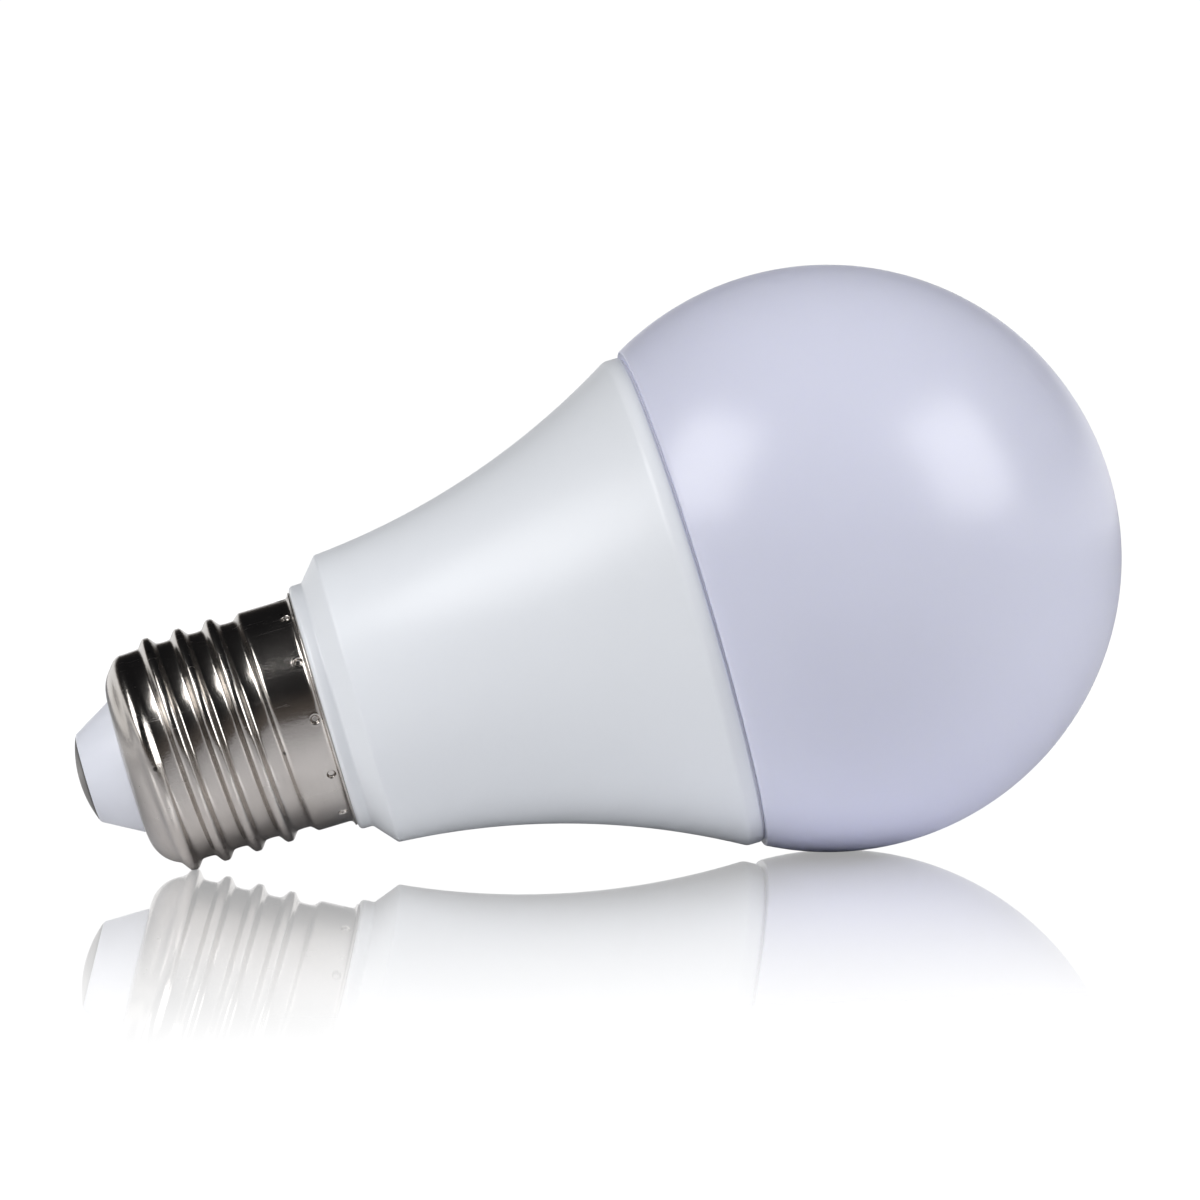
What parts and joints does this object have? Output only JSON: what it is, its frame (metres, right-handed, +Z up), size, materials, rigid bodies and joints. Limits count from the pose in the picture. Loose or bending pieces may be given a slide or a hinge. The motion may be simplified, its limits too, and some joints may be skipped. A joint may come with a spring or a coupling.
{
  "type": "smart light bulb",
  "caption": "Pear-shaped wireless LED bulb lying on its side: E27 screw cap, white flared plastic housing, milky round globe, driver and radio boards inside.",
  "frame": {"origin": "on the floor under the centre of the bulb's box", "axes": "+Z up; the bulb lies on its globe and its thread, with its axis in the XZ plane and the globe towards +X"},
  "size_m": [0.116, 0.065, 0.065],
  "materials": {
    "nickel": "rolled nickel-plated sheet, mirror-like with fine scratches",
    "cap_plastic": "smooth white moulding",
    "housing_plastic": "satin white moulding",
    "globe_plastic": "milky polycarbonate with a soft shine",
    "silicone": "clear-white silicone bead",
    "aluminium": "drawn sheet",
    "thermal_pad": "matte",
    "white_board": "white solder mask",
    "white_lamp": "yellow phosphor in a white package",
    "colour_lamp": "clear resin in a white package",
    "screw_steel": "zinc-plated",
    "black_plastic": "moulded black",
    "gold_pin": "gold-flashed",
    "green_board": "green solder mask",
    "resistor_body": "lacquered",
    "capacitor_sleeve": "shrunk plastic sleeve",
    "ferrite": "sintered ferrite",
    "varistor_coat": "dipped epoxy",
    "film_box": "dipped epoxy",
    "winding_tape": "polyester tape",
    "copper": "etched copper",
    "red_wire": "silicone insulation",
    "black_wire": "silicone insulation"
  },
  "bodies": {
    "root": {"center_contact": "nickel", "cap_insulator": "cap_plastic", "screw_shell": "nickel", "housing": "housing_plastic", "diffuser": "globe_plastic", "diffuser_seal": "silicone", "heat_sink_cup": "aluminium", "thermal_pad": "thermal_pad", "lamp_board": "white_board", "white_lamps": "white_lamp", "colour_lamps": "colour_lamp", "board_screws": "screw_steel", "lamp_socket": "black_plastic", "lamp_pins": "gold_pin", "driver_board": "green_board", "fuse_resistor": "resistor_body", "bridge_rectifier": "black_plastic", "input_capacitor": "capacitor_sleeve", "filter_inductor": "ferrite", "varistor": "varistor_coat", "driver_chip": "black_plastic", "dimming_transistors": "black_plastic", "transformer_bobbin": "black_plastic", "transformer_winding": "winding_tape", "transformer_core": "ferrite", "output_capacitor": "capacitor_sleeve", "film_capacitor": "film_box", "radio_board": "green_board", "radio_pins": "gold_pin", "radio_chip": "black_plastic", "radio_shield": "screw_steel", "antenna_trace": "copper", "live_lead": "red_wire", "neutral_lead": "black_wire"}
  },
  "joints": []
}
